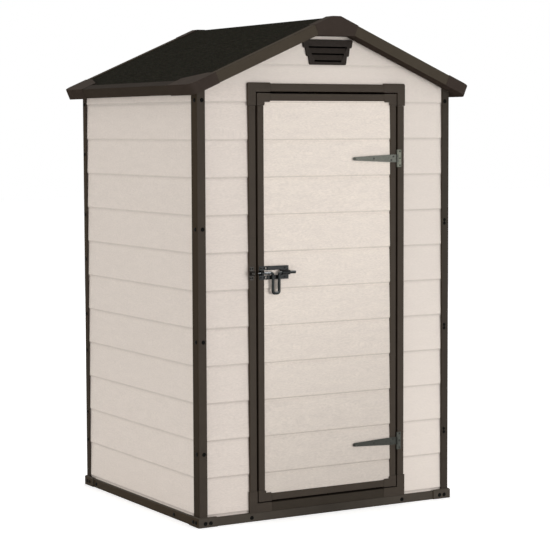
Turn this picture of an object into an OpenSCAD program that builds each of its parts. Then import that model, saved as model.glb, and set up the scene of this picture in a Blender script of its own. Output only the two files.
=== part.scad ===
// Plastic tool shed: plank-look resin wall panels on a moulded base tray,
// brown corner posts and trims, a gable roof with a louvred vent, and one
// outward-opening door on tee hinges with a pad bolt.
// Millimetres. X runs across the front, the door is on the -Y side and Z is
// up. The origin is on the ground under the middle of the shed.

/* [Base] */
// Width over the corner boots of the base
base_w = 1170; // [1060:5:1400]
// Depth over the corner boots of the base
base_d = 1050; // [850:5:1300]
// Height of the base rim that the walls stand on
base_h = 34; // [26:1:45]
// Depth of the floor deck below the rim
deck_drop = 6; // [3:1:10]
// Distance between the grooves in the deck
deck_pitch = 120; // [80:5:200]
// Chamfer along the top of the rim
rim_chamfer = 2; // [1:0.5:3]
// Length of each arm of a corner boot
boot_arm = 82; // [60:1:110]
// Height of the boots above the rim
boot_rise = 5; // [2:0.5:6]
// Thickness of the boots outside the rim
boot_t = 5; // [3:0.5:6]
// Chamfer along the top of the boots
boot_chamfer = 4; // [1:0.5:5]

/* [Posts] */
// Step from the face of a boot back to the face of a post
post_inset = 6; // [6:0.5:12]
// Thickness of the legs of a post
post_t = 6; // [5:0.5:20]
// Width of a post on the front and the back
post_front = 35; // [28:1:50]
// Width of a front post on the sides
post_side = 46; // [28:1:60]
// Width of a back post on the sides
post_back_side = 31; // [28:1:60]
// Radius of the outer edge of a post
post_round = 6; // [2:1:8]

/* [Walls] */
// Height of the walls above the ground, where they meet the roof
wall_h = 1693; // [1550:1:1900]
// Thickness of the wall panels
wall_t = 18; // [14:1:30]
// Height of one plank
plank_pitch = 143.5; // [110:0.5:180]
// Height of the lowest plank line above the rim
plank_first = 9.5; // [6:0.5:60]
// Depth of the step where one plank laps the next
plank_lap = 4; // [1:0.5:6]
// Height of the sloping underside of a plank
plank_bevel = 7; // [3:0.5:10]

/* [Roof] */
// Slope of the roof in degrees
roof_pitch = 23.3; // [18:0.1:26]
// Overhang of the eave trims beyond the base
side_overhang = 52; // [30:1:80]
// Overhang of the rake trims beyond the base
gable_overhang = 60; // [40:1:100]
// Thickness of the roof panels
roof_t = 14; // [10:1:25]
// Wall thickness of the roof trims
trim_t = 4; // [3:0.5:6]
// Depth of the rake trims, square to the slope
rake_h = 42; // [34:1:60]
// Width of the rake trims' lip on the roof
rake_lip = 36; // [20:1:60]
// Depth of the eave trims, square to the slope
eave_h = 41; // [30:1:60]
// Width of the eave trims' lip on the roof
eave_lip = 44; // [20:1:60]
// How far the corner and ridge caps stand proud of the trims
cap_proud = 1; // [1:0.5:4]
// Width of a corner cap's lip on the roof, at the end of each arm
cap_lip = 68; // [50:1:90]
// Radius of the roof's corners
corner_round = 40; // [20:1:60]
// Length of a corner cap along the rake
cap_rake_arm = 115; // [100:1:200]
// Length of a corner cap along the eave
cap_eave_arm = 195; // [110:1:240]
// Width of the flat along the ridge
ridge_flat = 36; // [20:1:60]
// Width of a ridge cap along its lower edge
ridge_cap_w = 162; // [120:1:240]
// Width of a ridge cap's lip on the roof
ridge_lip = 52; // [40:1:80]

/* [Door frame] */
// Width over the door frame
frame_w = 714; // [600:2:800]
// Width of the jambs and of the head
frame_face = 30.5; // [24:0.5:45]
// Height of the sill
sill_face = 34; // [24:1:50]
// How far the frame stands proud of the wall
frame_proud = 8; // [4:1:16]
// Gap round the door leaf
door_gap = 8; // [7:0.5:12]
// Radius of the front edges of the frame and the door
edge_round = 3; // [1:0.5:5]
// Length of an elbow along the head or the sill
elbow_x = 96; // [70:1:140]
// Length of an elbow along a jamb
elbow_z = 84; // [70:1:140]
// How far the elbows stand proud of the members' faces
elbow_proud = 0.5; // [0.5:0.5:1.5]
// How far the elbows reach into the gap round the door
elbow_grow = 1.5; // [0.5:0.5:1.5]
// How far the elbows reach beyond the outside of the frame
elbow_step = 3.5; // [1:0.5:5]
// Radius of the frame's outer corners
frame_round = 8; // [4:1:9]

/* [Door] */
// Width of the stiles and rails of the door
stile_face = 28; // [24:1:45]
// Thickness of the stiles and rails
door_t = 30; // [24:1:40]
// Thickness of the door panel
panel_t = 18; // [12:1:22]
// Step from the stiles back to the panel
panel_set = 2; // [1:0.5:4]
// How far a door elbow laps onto the panel
elbow_lap = 4; // [1:0.5:8]
// Height of the bead under each plank line of the door
bead_h = 8; // [4:0.5:14]
// Depth of that bead
bead_t = 1; // [0.5:0.5:2]

/* [Hinges] */
// Height of the upper hinge
hinge_top_z = 1400; // [1200:5:1450]
// Height of the lower hinge
hinge_bottom_z = 260; // [180:5:500]
// Thickness of the hinge metal
hinge_t = 3; // [2:0.5:4]
// Height of the hinge's fixed plate
plate_h = 69; // [60:1:100]
// Reach of the fixed plate from the pin
plate_reach = 19; // [16:1:34]
// Length of the strap from the pin
strap_l = 209; // [150:1:280]
// Height of the strap at its root
strap_root = 30; // [24:1:40]
// Height of the strap at its tip
strap_tip = 14; // [10:1:20]
// Length of the strap's root before its taper
strap_straight = 28; // [20:1:40]
// Outer radius of the knuckles
knuckle_r = 4.5; // [4:0.5:6]
// Radius of the hinge pin
pin_r = 2.5; // [2:0.5:3]

/* [Latch] */
// Height of the bolt
bolt_z = 966; // [800:1:1200]
// Radius of the bolt rod
rod_r = 6; // [4:0.5:6]
// Distance of the rod's centre from the door
rod_off = 13; // [12:0.5:15]
// Overhang of the withdrawn bolt's tip beyond the door's edge
tip_over = 7.5; // [2:0.5:8]
// Length of the bolt's taper
tip_l = 24; // [10:1:30]
// Travel of the bolt into its keeper
bolt_travel = 28; // [20:1:28]
// Length of the bow below the rod's centre
bow_drop = 85; // [60:1:110]
// Distance between the centres of the bow's legs
bow_gap = 27.5; // [22:0.5:36]
// Radius of the bow's lower bends, to the centre of the rod
bow_bend = 9; // [8:0.5:11]
// Length of the rod to the right of the bow
tail_l = 73; // [60:1:100]
// Distance of the bolt's guide from the door's edge
guide_inset = 4.5; // [2:0.5:8]
// Thickness of the latch's lugs
lug_t = 2.5; // [2:0.5:3]
// Thickness of the latch's rails
rail_t = 5; // [3:0.5:5]
// Height over the latch plate
latch_h = 52; // [44:1:70]
// Width of each rail of the latch plate
latch_rail = 16; // [12:1:18]

/* [Vent] */
// Width of the vent along its top
vent_w = 229; // [180:1:260]
// Height of the vent
vent_h = 98; // [80:1:110]
// Height of the vent's lower edge above the door frame
vent_over = 74; // [60:1:100]
// How far the vent stands out from the wall
vent_proud = 7; // [6:0.5:14]
// Number of tiers, and of slots
louvres = 3; // [2:1:4]
// Step at each side from one tier to the next
tier_step = 7.5; // [3:0.5:10]
// Taper of each tier at each side
tier_taper = 5.5; // [2:0.5:8]
// Distance from the vent's top down to the first slot
slot_first = 27; // [20:0.5:34]
// Distance from the last slot down to the vent's foot
slot_foot = 10.5; // [8:0.5:14]
// Height of a slot
slot_h = 7.5; // [4:0.5:9]
// Distance of a slot's ends from the sides of its tier
slot_margin = 21.5; // [16:0.5:34]

/* [Hidden] */
$fn = 48;
// Clearance round the hinge pins
pin_clear = 0.1;
// Running clearance round the bolt rod
rod_clear = 0.4;
// Clearance between knuckles, and the strip that joins them to their plate
knuckle_clear = 0.5;
knuckle_web = 1.5;
// Height of the hinge pins' heads
pin_head = 1;
// Clearance between the walls and the roof panels on them
roof_seat = 0.2;
// Clearance round the vent in its seat
vent_clear = 0.2;
// Gap between the flanges under the trims and the posts
soffit_gap = 2;
// Gap where a straight member of the frame or of the door meets an elbow
seam = 0.8;
// Length beyond a surface of a cut that goes right through it
over = 1;
// A size larger than the shed, for half spaces
far = 3000;

wall_color = "#ddd4c9";
trim_color = "#46403b";
roof_color = "#262622";
vent_color = "#2d2926";
zinc_color = "#6f716a";
latch_color = "#373a3a";

tan_p = tan(roof_pitch);
cos_p = cos(roof_pitch);
sin_p = sin(roof_pitch);
post_x = base_w / 2 - post_inset;
post_y = base_d / 2 - post_inset;
wall_x = post_x - post_t;
wall_y = post_y - post_t;
rim_x = base_w / 2 - boot_t;
rim_y = base_d / 2 - boot_t;

// Depth of the roof's underside below the trims' top plane
under = trim_t + roof_t;
// Where the slopes would meet, in the top plane of the trims
apex = wall_h + wall_x * tan_p + (under + roof_seat) / cos_p;
// Height of the flat along the ridge caps, the top of the shed
ridge_h = apex + cap_proud / cos_p - ridge_flat / 2 * tan_p;
eave_x = base_w / 2 + side_overhang;
rake_y = base_d / 2 + gable_overhang;
slope_l = eave_x / cos_p;
// Height of the flat where the roof panels meet
sheet_ridge = ridge_h - cap_proud - trim_t;
// Inner edges of the flanges that close the overhangs from below: down the
// slope along the eaves, and across the shed along the rakes
soffit_u = (post_x + soffit_gap + (rake_h + cap_proud) * sin_p) / cos_p;
soffit_y = post_y + soffit_gap;

face_y = -(wall_y + frame_proud);
frame_top = wall_h;
hole_x = frame_w / 2 - frame_face;
hole_bottom = base_h + sill_face;
hole_top = frame_top - frame_face;
leaf_x = hole_x - door_gap;
leaf_bottom = hole_bottom + door_gap;
leaf_top = hole_top - door_gap;
panel_x = leaf_x - stile_face;
panel_bottom = leaf_bottom + stile_face;
panel_top = leaf_top - stile_face;
elbow_inner_x = frame_w / 2 - elbow_x;
elbow_bottom = base_h + elbow_z;
elbow_top = frame_top - elbow_z;

pin_x = hole_x - door_gap / 2;
pin_off = knuckle_r + knuckle_clear;

// Width of the bolt's guide, of its block and of the lugs beside the guide
guide_w = 12;
block_w = 35;
lug_w = 39;
// Width of the keeper's ears and of its arch
keeper_w = 18;
keeper_arch = 14;
// Radius of the hole in each lug
lug_hole = 4.5;
// Inner radius of the rod's bends, and the straight rod beside each
bend_inner = 4;
rod_straight = 2;
// Radius of the bolt's tip
tip_r = 2;
// Clearance between the bow and the guide when the bolt is home
bow_clear = 4;
rod_bend = rod_r + bend_inner;

// Places along the rod, from its tip to its tail
tip_x = -leaf_x - tip_over;
guide_x = -leaf_x + guide_inset;
bow_x = guide_x + guide_w + bolt_travel + bow_clear + rod_bend;
split_x = bow_x - rod_bend - rod_straight;
block_x = bow_x + bow_gap + rod_bend + rod_straight;
tail_x = bow_x + bow_gap + tail_l;

// ---- helpers ----

// What is cut from a square corner at the origin to round it
module round_bite(r) {
    difference() {
        translate([-over, -over]) square(r + over);
        translate([r, r]) circle(r);
    }
}

// A box centred on the origin in plan and standing on z = 0
module slab(w, d, h) {
    translate([-w / 2, -d / 2, 0]) cube([w, d, h]);
}

// A slab whose top edges are chamfered on all four sides
module chamfered_slab(w, d, h, c) {
    intersection() {
        across(d) chamfered_side(w, h, c);
        rotate([0, 0, 90]) across(w) chamfered_side(d, h, c);
    }
}

module chamfered_side(w, h, c) {
    polygon([[-w / 2, 0], [w / 2, 0], [w / 2, h - c], [w / 2 - c, h],
        [-w / 2 + c, h], [-w / 2, h - c]]);
}

// Stands an outline drawn in X and Z upright and extrudes it along Y
module across(depth) {
    rotate([90, 0, 0]) linear_extrude(depth, center = true) children();
}

// The same, from y = 0 backwards
module back_from_front(depth) {
    translate([0, depth, 0]) rotate([90, 0, 0]) linear_extrude(depth) children();
}

// Section of a straight member with rounded front edges, front face at y = 0
module bar_section(w, d) {
    difference() {
        translate([-w / 2, 0]) square([w, d]);
        translate([-w / 2, 0]) round_bite(edge_round);
        translate([w / 2, 0]) mirror([1, 0]) round_bite(edge_round);
    }
}

// Upright member from z0 to z1
module upright(x, w, d, z0, z1) {
    translate([x, face_y, z0]) linear_extrude(z1 - z0) bar_section(w, d);
}

// Level member from -half to half
module level(z, w, d, half) {
    translate([-half, face_y, z]) rotate([90, 0, 90]) linear_extrude(2 * half)
        rotate([0, 0, -90]) mirror([1, 0]) bar_section(w, d);
}

// Copies a corner piece to the four corners
module four_corners() {
    for (mx = [0, 1], my = [0, 1])
        mirror([mx, 0, 0]) mirror([0, my, 0]) children();
}

// ---- base ----

// Size of the grooves in the deck, and the plain border round them
groove_w = 6;
groove_t = 2;
deck_border = 30;
// Grooves on each side of the middle one
grooves = floor((wall_x - wall_t - deck_border) / deck_pitch);

module floor_tray() {
    color(trim_color) difference() {
        chamfered_slab(2 * rim_x, 2 * rim_y, base_h, rim_chamfer);
        translate([0, 0, base_h - deck_drop])
            slab(2 * (wall_x - wall_t), 2 * (wall_y - wall_t), deck_drop + over);
        for (i = [-grooves : grooves]) translate([i * deck_pitch, 0, base_h - deck_drop - groove_t])
            slab(groove_w, 2 * (wall_y - wall_t - deck_border), deck_drop);
    }
}

module corner_boots() {
    boot_h = base_h + boot_rise;
    color(trim_color) difference() {
        chamfered_slab(base_w, base_d, boot_h, boot_chamfer);
        translate([0, 0, -over]) slab(2 * rim_x, 2 * rim_y, base_h + over);
        slab(2 * post_x, 2 * post_y, boot_h + over);
        across(base_d + 2 * over) between_boots(base_w / 2 - boot_arm, boot_h);
        rotate([0, 0, 90]) across(base_w + 2 * over) between_boots(base_d / 2 - boot_arm, boot_h);
    }
}

// What is cut away between two boots, whose ends lean back at the top
module between_boots(half, h) {
    top = half + boot_chamfer + over;
    polygon([[-half, -over], [half, -over], [half, h - boot_chamfer],
        [top, h + over], [-top, h + over], [-half, h - boot_chamfer]]);
}

// ---- posts ----

// Everything below the roof panels, with the clearance under them
module under_roof() {
    peak = apex - (under + roof_seat) / cos_p;
    foot = peak - post_x * tan_p;
    across(far) polygon([[-post_x, 0], [post_x, 0], [post_x, foot], [0, peak], [-post_x, foot]]);
}

module post_section(side) {
    difference() {
        translate([-post_x, -post_y]) square([post_front, side]);
        translate([-wall_x, -wall_y]) square([post_front, side]);
        translate([-post_x, -post_y]) round_bite(post_round);
    }
}

module post(mx, my) {
    color(trim_color) mirror([mx, 0, 0]) mirror([0, my, 0]) intersection() {
        translate([0, 0, base_h]) linear_extrude(ridge_h) post_section(my == 0 ? post_side : post_back_side);
        under_roof();
    }
}

module post_front_left() post(0, 0);
module post_front_right() post(1, 0);
module post_back_left() post(0, 1);
module post_back_right() post(1, 1);

// ---- walls ----

function plank_line(i) = base_h + plank_first + i * plank_pitch;
plank_lines = ceil((ridge_h - base_h - plank_first) / plank_pitch);

// Section of a plank-look panel from z0 up: x is the depth from its outer face,
// y the height. Each plank laps the one below it, and where bead is more than
// 0, a bead of that depth runs under its edge
module plank_section(t, z0, bead) {
    steps = [for (i = [0 : plank_lines - 1]) let (z = plank_line(i) - plank_bevel / 2) each [
        if (bead > 0) [plank_lap - bead, z - bead_h - bead],
        if (bead > 0) [plank_lap, z - bead_h],
        [plank_lap, z],
        [0, z + plank_bevel]]];
    polygon(concat([[t, z0], [plank_lap, z0]], steps,
        [[plank_lap, plank_line(plank_lines)], [t, plank_line(plank_lines)]]));
}

// A panel as long as w that faces the front, its outer face at y = 0
module plank_sheet(w, t, z0, bead) {
    rotate([90, 0, 90]) linear_extrude(w, center = true) plank_section(t, z0, bead);
}

module gable_sheet() {
    intersection() {
        translate([0, -wall_y, 0]) plank_sheet(2 * wall_x, wall_t, base_h, 0);
        under_roof();
    }
}

module side_wall() {
    color(wall_color) intersection() {
        rotate([0, 0, -90]) translate([0, -wall_x, 0])
            plank_sheet(2 * (wall_y - wall_t), wall_t, base_h, 0);
        under_roof();
    }
}

module left_wall() side_wall();
module right_wall() mirror([1, 0, 0]) side_wall();
module back_wall() color(wall_color) mirror([0, 1, 0]) gable_sheet();

module front_wall_left() {
    color(wall_color) intersection() {
        gable_sheet();
        translate([-far, -far, 0]) cube([far - frame_w / 2, 2 * far, frame_top]);
    }
}

module front_wall_right() mirror([1, 0, 0]) front_wall_left();

module front_gable() {
    color(wall_color) difference() {
        intersection() {
            gable_sheet();
            translate([-far, -far, frame_top]) cube([2 * far, 2 * far, far]);
        }
        translate([0, -wall_y - over, vent_bottom])
            back_from_front(vent_seat + vent_clear + over) vent_outline(vent_clear);
        translate([0, -wall_y - over, vent_bottom])
            back_from_front(wall_t + 2 * over) vent_core();
    }
}

// ---- vent ----

vent_bottom = frame_top + vent_over;
// Depth of the vent's seat in the wall
vent_seat = plank_lap + 2;
tier_h = vent_h / louvres;
tier_round = 5;
// How far a tier reaches up behind the one above it
tier_overlap = 8;
// Rise of a slot from the inside to the front, so that rain stays out, the
// depth of the hollow under it, and how far the hole behind the slots keeps
// from the vent's top and foot and reaches past the slots' ends
slot_rake = 4;
hollow_t = 4.5;
core_border = 12;
core_spread = 12;
slot_pitch = (vent_h - slot_first - slot_h - slot_foot) / (louvres - 1);

// Half width of the vent at the top of tier i, counted from the top
function tier_half(i) = vent_w / 2 - i * (tier_step + tier_taper);

// Half width of slot i and the height of its upper edge
function slot_half(i) = tier_half(i) - tier_taper - slot_margin;
function slot_z(i) = vent_h - slot_first - i * slot_pitch;

// A corner rounding at (x, z), for the sides s of a symmetrical outline
module side_bites(x, z, up) {
    for (s = [0, 1]) mirror([s, 0]) translate([-x, z]) mirror([0, up]) round_bite(tier_round);
}

// One tapered tier from z = 0 up, its lower corners rounded
module tier(half, h, top_round) {
    difference() {
        polygon([[-half, h], [-half + tier_taper, 0], [half - tier_taper, 0], [half, h]]);
        side_bites(half - tier_taper, 0, 0);
        if (top_round) side_bites(half, h, 1);
    }
}

// Front view of the vent, larger by grow on every side
module vent_outline(grow) {
    for (i = [0 : louvres - 1]) translate([0, vent_h - (i + 1) * tier_h - grow])
        tier(tier_half(i) + grow, tier_h + 2 * grow + (i == 0 ? 0 : tier_overlap), i == 0);
}

// The open middle of the vent, which goes through the wall
module vent_core() {
    top = slot_half(0) + core_spread;
    foot = slot_half(louvres - 1) + core_spread;
    z = slot_z(louvres - 1) - core_border;
    polygon([[-foot, z], [foot, z], [top, vent_h - core_border], [-top, vent_h - core_border]]);
}

// Slot i, from the vent's front face at y = 0 through to the open middle
module vent_slot(i) {
    d = vent_proud + vent_seat + over;
    rake = slot_rake / d;
    translate([0, 0, slot_z(i)]) rotate([90, 0, 90])
        linear_extrude(2 * slot_half(i), center = true)
        polygon([[-over, -slot_h - rake * over], [d, rake * d - slot_h],
            [d, rake * d], [-over, -rake * over]]);
}

// Hollow between slot i and the next: deep at its top and level with the
// front face at its foot, so that what is left there leans out like a blade
module vent_hollow(i) {
    top = slot_z(i) - slot_h / 2;
    foot = slot_z(i + 1);
    intersection() {
        back_from_front(hollow_t) polygon([[-slot_half(i + 1), foot], [slot_half(i + 1), foot],
            [slot_half(i), top], [-slot_half(i), top]]);
        rotate([90, 0, 90]) linear_extrude(vent_w, center = true)
            polygon([[0, foot], [hollow_t, top], [-over, top], [-over, foot]]);
    }
}

module gable_vent() {
    color(vent_color) translate([0, -wall_y - vent_proud, vent_bottom]) difference() {
        back_from_front(vent_proud + vent_seat) vent_outline(0);
        for (i = [0 : louvres - 1]) vent_slot(i);
        for (i = [0 : louvres - 2]) translate([0, -over / 100, 0]) vent_hollow(i);
    }
}

// ---- roof ----

// Puts a piece drawn on the right slope in place: x runs down the slope
// from the ridge, z is square to it, and z = 0 is the trims' top plane
module on_slope(left) {
    mirror([left, 0, 0]) translate([0, 0, apex]) rotate([0, roof_pitch, 0]) children();
}

// Everything on one side of the ridge
module half_space(left) {
    mirror([left, 0, 0]) translate([0, -far, -far]) cube([far, 2 * far, 2 * far]);
}

// Plan of one slope, its two eave corners rounded, smaller by inset all round
module slope_plan(inset) {
    x1 = slope_l - inset;
    y1 = rake_y - inset;
    r = corner_round - cap_proud - inset;
    difference() {
        translate([-ridge_cap_w, -y1]) square([x1 + ridge_cap_w, 2 * y1]);
        for (s = [0, 1]) mirror([0, s]) translate([x1, -y1]) mirror([1, 0]) round_bite(r);
    }
}

module roof_panel(left) {
    color(roof_color) intersection() {
        on_slope(left) translate([0, 0, -under])
            linear_extrude(roof_t) slope_plan(trim_t);
        half_space(left);
        translate([-far, -far, 0]) cube([2 * far, 2 * far, sheet_ridge]);
    }
}

module roof_panel_left() roof_panel(1);
module roof_panel_right() roof_panel(0);

// Section of a trim: outer face at x = 0, top at y = 0, open to the inside,
// with a lip on the roof and a flange under the overhang
module trim_section(h, lip, flange) {
    difference() {
        translate([0, -h]) square([max(lip, flange), h]);
        translate([trim_t, -h + trim_t]) square([max(lip, flange), h - 2 * trim_t]);
        translate([lip, -trim_t - over]) square([flange, trim_t + 2 * over]);
        translate([flange, -h - over]) square([lip, h - trim_t]);
        mirror([0, 1]) round_bite(edge_round);
        translate([0, -h]) round_bite(edge_round / 2);
    }
}

module rake_trim(left, back) {
    color(trim_color) mirror([0, back, 0]) on_slope(left)
        translate([ridge_u, -rake_y, 0]) rotate([90, 0, 90])
            linear_extrude(slope_l + cap_proud - cap_rake_arm - ridge_u)
            trim_section(rake_h, rake_lip, rake_y - soffit_y);
}

module rake_front_left() rake_trim(1, 0);
module rake_front_right() rake_trim(0, 0);
module rake_back_left() rake_trim(1, 1);
module rake_back_right() rake_trim(0, 1);

module eave_trim(left) {
    y1 = rake_y + cap_proud - cap_eave_arm;
    color(trim_color) on_slope(left) translate([slope_l, y1, 0]) rotate([90, 0, 0])
        linear_extrude(2 * y1) mirror([1, 0]) trim_section(eave_h, eave_lip, slope_l - soffit_u);
}

module eave_left() eave_trim(1);
module eave_right() eave_trim(0);

// Cap over the corner at the foot of the right front rake. Its flange ends
// level with the flanges of the trims beside it
module corner_cap() {
    h = rake_h + cap_proud;
    x1 = slope_l + cap_proud;
    y1 = rake_y + cap_proud;
    difference() {
        intersection() {
            translate([0, 0, -h]) linear_extrude(h + cap_proud) slope_plan(-cap_proud);
            translate([x1 - cap_rake_arm, -y1, -far]) cube([cap_rake_arm, cap_eave_arm, 2 * far]);
        }
        translate([0, 0, -h + trim_t]) linear_extrude(h - 2 * trim_t) slope_plan(trim_t);
        translate([soffit_u - cap_rake_arm, -soffit_y, -h - over])
            cube([cap_rake_arm, cap_eave_arm, h - trim_t]);
        translate([x1, -y1, -over - trim_t]) linear_extrude(2 * h) lip_window();
    }
}

// What the cap's lip leaves open, seen from its outer corner: everything
// beyond a straight line from the end of one arm to the end of the other
module lip_window() {
    polygon([[-cap_rake_arm - over, cap_lip], [-cap_rake_arm, cap_lip],
        [-cap_lip, cap_eave_arm], [-cap_lip, cap_eave_arm + over],
        [-cap_rake_arm - over, cap_eave_arm + over]]);
}

module roof_corner_caps() {
    color(trim_color) for (left = [0, 1], back = [0, 1])
        mirror([0, back, 0]) on_slope(left) corner_cap();
}

// Across and up from the ridge's foot point to a point of the right slope
function slope_x(u, w) = u * cos_p + w * sin_p;
function slope_z(u, w) = apex - u * sin_p + w * cos_p;

// Depth of the ridge cap's lower corners, square to the slope, and the place
// down the slope where the cap meets the rake trims
ridge_drop = rake_h + cap_proud + 1;
ridge_u = (ridge_cap_w / 2 + ridge_drop * sin_p) / cos_p;

// Outline of the ridge cap's face
module ridge_outline() {
    right = [[ridge_flat / 2, ridge_h], [slope_x(ridge_u, cap_proud), slope_z(ridge_u, cap_proud)],
        [ridge_cap_w / 2, slope_z(ridge_u, -ridge_drop)]];
    left = [for (i = [2 : -1 : 0]) [-right[i].x, right[i].y]];
    polygon(concat(right, left));
}

// What lies under the ridge cap's lip: the roof panels and their flat ridge
module ridge_under() {
    flat = (apex - trim_t / cos_p - sheet_ridge) / tan_p;
    foot = apex - trim_t / cos_p - far * tan_p;
    polygon([[-far, foot], [-flat, sheet_ridge], [flat, sheet_ridge], [far, foot],
        [far, -far], [-far, -far]]);
}

module ridge_cap() {
    color(trim_color) translate([0, -rake_y - cap_proud, 0]) {
        back_from_front(trim_t + cap_proud) ridge_outline();
        back_from_front(ridge_lip) difference() {
            ridge_outline();
            ridge_under();
        }
        back_from_front(rake_y + cap_proud - soffit_y)
            translate([-ridge_cap_w / 2, slope_z(ridge_u, -ridge_drop)]) square([ridge_cap_w, trim_t]);
    }
}

module ridge_cap_front() ridge_cap();
module ridge_cap_back() mirror([0, 1, 0]) ridge_cap();

// ---- door frame ----

module frame_jamb_left() {
    color(trim_color) upright(-frame_w / 2 + frame_face / 2, frame_face,
        frame_proud + wall_t, elbow_bottom + seam, elbow_top - seam);
}

module frame_jamb_right() mirror([1, 0, 0]) frame_jamb_left();

module frame_head() {
    color(trim_color) level(frame_top - frame_face / 2, frame_face,
        frame_proud + wall_t, elbow_inner_x - seam);
}

module frame_sill() {
    color(trim_color) level(base_h + sill_face / 2, sill_face,
        frame_proud + wall_t, elbow_inner_x - seam);
}

// An elbow: arms from the corner at the origin along +x and +z, with their
// outer edges moved out by grow_out and their inner edges in by grow_in
module elbow_plan(arm_x, arm_z, w_x, w_z, grow_out, grow_in) {
    polygon([[-grow_out, -grow_out], [arm_x, -grow_out], [arm_x, w_z],
        [arm_x - grow_in, w_z + grow_in], [w_x + grow_in, w_z + grow_in],
        [w_x + grow_in, arm_z - grow_in], [w_x, arm_z], [-grow_out, arm_z]]);
}

// An elbow of the frame, whose front plate laps onto the wall and has a
// rounded outer corner
module frame_elbow(w_z) {
    translate([-frame_w / 2, face_y, 0]) {
        back_from_front(frame_proud + wall_t)
            elbow_plan(elbow_x, elbow_z, frame_face, w_z, 0, elbow_grow);
        translate([0, -elbow_proud, 0]) back_from_front(frame_proud + elbow_proud) difference() {
            elbow_plan(elbow_x, elbow_z, frame_face, w_z, elbow_step, elbow_grow);
            translate([-elbow_step, -elbow_step]) round_bite(frame_round);
        }
    }
}

module frame_elbows() {
    color(trim_color) for (s = [0, 1]) mirror([s, 0, 0]) {
        translate([0, 0, base_h]) difference() {
            frame_elbow(sill_face);
            translate([-far, -far, -far]) cube([2 * far, 2 * far, far]);
        }
        translate([0, 0, frame_top]) mirror([0, 0, 1]) frame_elbow(frame_face);
    }
}

// ---- door ----

module door_stile_left() {
    color(trim_color) upright(-leaf_x + stile_face / 2, stile_face, door_t,
        elbow_bottom + seam, elbow_top - seam);
}

module door_stile_right() mirror([1, 0, 0]) door_stile_left();

module door_rail_top() {
    color(trim_color) level(leaf_top - stile_face / 2, stile_face, door_t, elbow_inner_x - seam);
}

module door_rail_bottom() {
    color(trim_color) level(leaf_bottom + stile_face / 2, stile_face, door_t, elbow_inner_x - seam);
}

module door_elbow(arm_z) {
    arm_x = leaf_x - elbow_inner_x;
    translate([-leaf_x, face_y, 0]) {
        back_from_front(door_t) elbow_plan(arm_x, arm_z, stile_face, stile_face, elbow_grow, 0);
        translate([0, -elbow_proud, 0]) back_from_front(panel_set + elbow_proud)
            elbow_plan(arm_x, arm_z, stile_face, stile_face, elbow_grow, elbow_lap);
    }
}

module door_elbows() {
    color(trim_color) for (s = [0, 1]) mirror([s, 0, 0]) {
        translate([0, 0, leaf_bottom]) door_elbow(elbow_bottom - leaf_bottom);
        translate([0, 0, leaf_top]) mirror([0, 0, 1]) door_elbow(leaf_top - elbow_top);
    }
}

module door_panel() {
    color(wall_color) intersection() {
        translate([0, face_y + panel_set, 0]) plank_sheet(2 * panel_x, panel_t, 0, bead_t);
        translate([-far, -far, panel_bottom]) cube([2 * far, 2 * far, panel_top - panel_bottom]);
    }
}

// ---- hinges ----

// Puts a piece drawn round the pin at the origin in place; the door's face
// is at y = pin_off, and -y is outwards
module at_pin(z) {
    translate([pin_x, face_y - pin_off, z]) children();
}

// A length of knuckle with its bore
module knuckle(z0, z1) {
    translate([0, 0, z0]) cylinder(h = z1 - z0, r = knuckle_r);
}

module pin_bore() {
    translate([0, 0, -plate_h]) cylinder(h = 2 * plate_h, r = pin_r + pin_clear);
}

module hinge_plate(z) {
    gap = strap_root / 2 + knuckle_clear;
    web = knuckle_r + knuckle_web;
    color(zinc_color) at_pin(z) difference() {
        union() {
            translate([web, pin_off - hinge_t, -plate_h / 2])
                cube([plate_reach - web, hinge_t, plate_h]);
            for (s = [-1, 1]) translate([0, pin_off - hinge_t, s > 0 ? gap : -plate_h / 2])
                cube([web + knuckle_clear, hinge_t - knuckle_clear, plate_h / 2 - gap]);
            knuckle(gap, plate_h / 2);
            knuckle(-plate_h / 2, -gap);
        }
        pin_bore();
    }
}

module hinge_plate_top() hinge_plate(hinge_top_z);
module hinge_plate_bottom() hinge_plate(hinge_bottom_z);

// Outline of the strap, running to the left from the pin and tapering to a round end
module strap_outline() {
    r = strap_tip / 2;
    root = strap_root / 2;
    polygon([[0, -root], [0, root], [-strap_straight, root],
        [-strap_l + r, r], [-strap_l + r, -r], [-strap_straight, -root]]);
    translate([-strap_l + r, 0]) circle(r);
}

module hinge_strap(z) {
    edge = door_gap / 2 + over;
    color(zinc_color) at_pin(z) difference() {
        union() {
            translate([0, pin_off - hinge_t, 0]) back_from_front(hinge_t) intersection() {
                strap_outline();
                translate([-far - edge, -far]) square([far, 2 * far]);
            }
            translate([-edge - knuckle_clear, pin_off - hinge_t, -strap_root / 2])
                cube([edge + knuckle_clear, hinge_t - knuckle_clear, strap_root]);
            knuckle(-strap_root / 2, strap_root / 2);
        }
        pin_bore();
    }
}

module hinge_strap_top() hinge_strap(hinge_top_z);
module hinge_strap_bottom() hinge_strap(hinge_bottom_z);

module hinge_pin() {
    translate([0, 0, -plate_h / 2]) cylinder(h = plate_h, r = pin_r);
    for (s = [0, 1]) mirror([0, 0, s]) translate([0, 0, plate_h / 2])
        cylinder(h = pin_head, r1 = pin_r + pin_head, r2 = pin_r);
}

module hinge_pins() {
    color(zinc_color) {
        at_pin(hinge_top_z) hinge_pin();
        at_pin(hinge_bottom_z) hinge_pin();
    }
}

// ---- latch ----

// Puts a piece in place whose x is that of the shed, with z = 0 at the rod
// and y = 0 on the door's face
module at_bolt() {
    translate([0, face_y, bolt_z]) children();
}

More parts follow.
